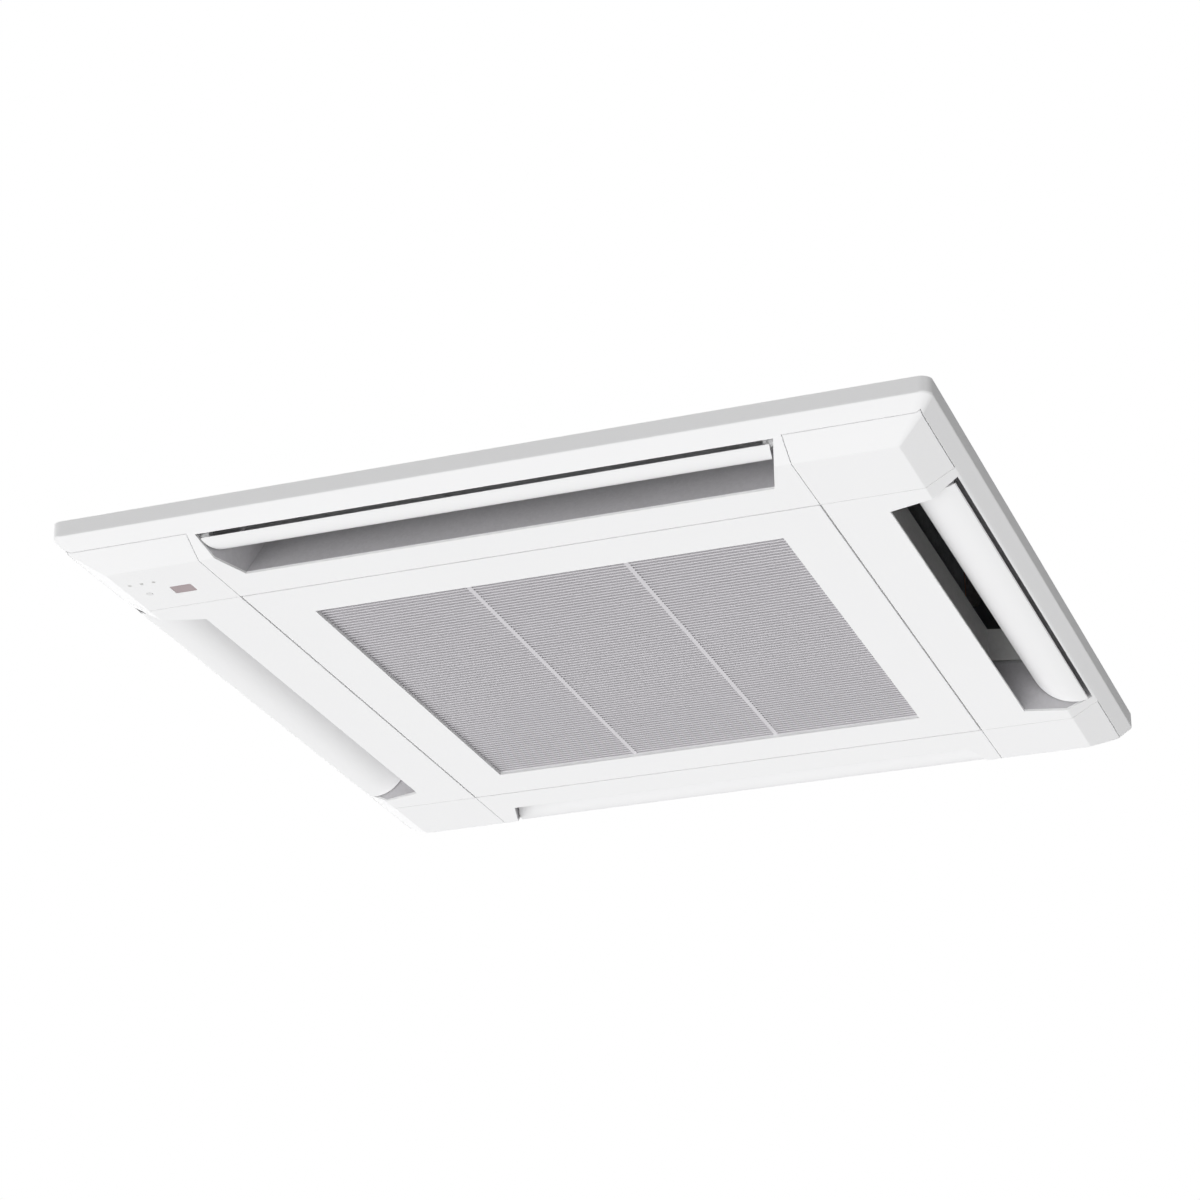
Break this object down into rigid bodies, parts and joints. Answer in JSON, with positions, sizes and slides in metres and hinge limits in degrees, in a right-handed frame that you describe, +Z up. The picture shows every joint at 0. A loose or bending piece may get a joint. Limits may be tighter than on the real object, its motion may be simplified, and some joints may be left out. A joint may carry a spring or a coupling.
{
  "type": "ceiling cassette air conditioner",
  "caption": "Square four-way ceiling cassette indoor unit: a flat white panel with a hinged intake grille and curved vanes, under a steel casing with fan, coil and drain pump.",
  "frame": {"origin": "centre of the decoration panel, on the plane of the finished ceiling", "axes": "+Z up into the ceiling void, -Y towards the front edge, +X towards the right-hand edge seen from above"},
  "size_m": [0.95, 0.959, 0.3128],
  "materials": {
    "panel_white": "satin",
    "lattice_grey": "satin",
    "filter_plastic": "matte",
    "filter_net": "woven",
    "window_tint": "tinted",
    "lens": "frosted",
    "button_plastic": "satin",
    "circuit_board": "satin",
    "steel_pin": "ground",
    "catch_plastic": "matte",
    "bush_plastic": "matte",
    "motor_steel": "plated",
    "duct_foam": "moulded foam",
    "seal_foam": "foam",
    "screw_steel": "zinc plated",
    "casing_steel": "galvanised",
    "bracket_steel": "galvanised",
    "insulation": "closed-cell foam",
    "pan_foam": "moulded foam",
    "fin_aluminium": "fine fins",
    "end_steel": "galvanised",
    "copper": "drawn copper",
    "nut_brass": "forged",
    "bell_plastic": "matte",
    "fan_plastic": "matte",
    "shaft_steel": "ground",
    "fan_motor_body": "painted",
    "grommet_rubber": "matte",
    "box_steel": "galvanised",
    "terminal_plastic": "matte",
    "pump_plastic": "matte",
    "float_plastic": "matte",
    "drain_plastic": "satin"
  },
  "bodies": {
    "unit": {"panel_frame": "panel_white", "receiver_window": "window_tint", "indicator_lenses": "lens", "display_board": "circuit_board", "hinge_pins": "steel_pin", "catch_housings": "catch_plastic", "vane_bushes": "bush_plastic", "panel_seal": "seal_foam", "panel_screws": "screw_steel", "casing_roof": "casing_steel", "casing_sides": "casing_steel", "casing_corners": "casing_steel", "hanger_brackets": "bracket_steel", "vane_motors": "motor_steel", "foam_liner": "insulation", "drain_pan": "pan_foam", "coil_fins": "fin_aluminium", "coil_end_plates": "end_steel", "coil_return_bends": "copper", "gas_pipe": "copper", "liquid_pipe": "copper", "flare_unions": "nut_brass", "flare_nuts": "nut_brass", "bell_mouth": "bell_plastic", "fan_motor": "fan_motor_body", "motor_grommets": "grommet_rubber", "motor_bracket": "bracket_steel", "control_box": "box_steel", "control_box_cover": "box_steel", "control_board": "circuit_board", "terminal_block": "terminal_plastic", "drain_pump": "pump_plastic", "float_stem": "pump_plastic", "drain_socket": "drain_plastic", "room_sensor": "bush_plastic", "cable_grommet": "grommet_rubber", "corner_cover_front_left": "panel_white", "corner_cover_front_right": "panel_white", "corner_cover_back_left": "panel_white", "corner_cover_back_right": "panel_white", "outlet_liner_front": "duct_foam", "outlet_liner_right": "duct_foam", "outlet_liner_back": "duct_foam", "outlet_liner_left": "duct_foam"},
    "grille": {"intake_grille": "panel_white", "grille_insert": "lattice_grey"},
    "filter": {"air_filter_frame": "filter_plastic", "air_filter_net": "filter_net"},
    "fan": {"turbo_fan": "fan_plastic", "fan_shaft": "shaft_steel", "fan_nut": "screw_steel"},
    "button": {"manual_button": "button_plastic"},
    "catch_left": {"catch_plunger_left": "catch_plastic"},
    "catch_right": {"catch_plunger_right": "catch_plastic"},
    "float": {"float_ring": "float_plastic"},
    "vane_front_body": {"vane_front": "panel_white"},
    "vane_right_body": {"vane_right": "panel_white"},
    "vane_back_body": {"vane_back": "panel_white"},
    "vane_left_body": {"vane_left": "panel_white"}
  },
  "joints": [
    {"name": "vane_front_swing", "type": "hinge", "parent": "unit", "child": "vane_front_body", "pos_m": [0, -0.447, -0.0294], "axis": [1, 0, 0], "range_deg": [-43.7, 8]},
    {"name": "vane_right_swing", "type": "hinge", "parent": "unit", "child": "vane_right_body", "pos_m": [0.447, 0, -0.0294], "axis": [0, 1, 0], "range_deg": [-43.7, 8]},
    {"name": "vane_back_swing", "type": "hinge", "parent": "unit", "child": "vane_back_body", "pos_m": [0, 0.447, -0.0294], "axis": [-1, 0, 0], "range_deg": [-43.7, 8]},
    {"name": "vane_left_swing", "type": "hinge", "parent": "unit", "child": "vane_left_body", "pos_m": [-0.447, 0, -0.0294], "axis": [0, -1, 0], "range_deg": [-43.7, 8]},
    {"name": "grille_hinge", "type": "hinge", "parent": "unit", "child": "grille", "pos_m": [0, 0.309, -0.0409], "axis": [1, 0, 0], "range_deg": [0, 90]},
    {"name": "filter_slide", "type": "slide", "parent": "grille", "child": "filter", "axis": [0, -1, 0], "range_m": [0, 0.012]},
    {"name": "fan_spin", "type": "hinge", "parent": "unit", "child": "fan", "pos_m": [0, 0, 0.15], "axis": [0, 0, 1], "continuous": true},
    {"name": "button_press", "type": "slide", "parent": "unit", "child": "button", "axis": [0, 0, 1], "range_m": [0, 0.0015], "stiffness_N_per_m": 500, "springref_m": -0.001},
    {"name": "catch_left_press", "type": "slide", "parent": "unit", "child": "catch_left", "axis": [0, 0, 1], "range_m": [0, 0.003], "stiffness_N_per_m": 600, "springref_m": -0.003},
    {"name": "catch_right_press", "type": "slide", "parent": "unit", "child": "catch_right", "axis": [0, 0, 1], "range_m": [0, 0.003], "stiffness_N_per_m": 600, "springref_m": -0.003},
    {"name": "float_rise", "type": "slide", "parent": "unit", "child": "float", "axis": [0, 0, 1], "range_m": [0, 0.01]}
  ]
}
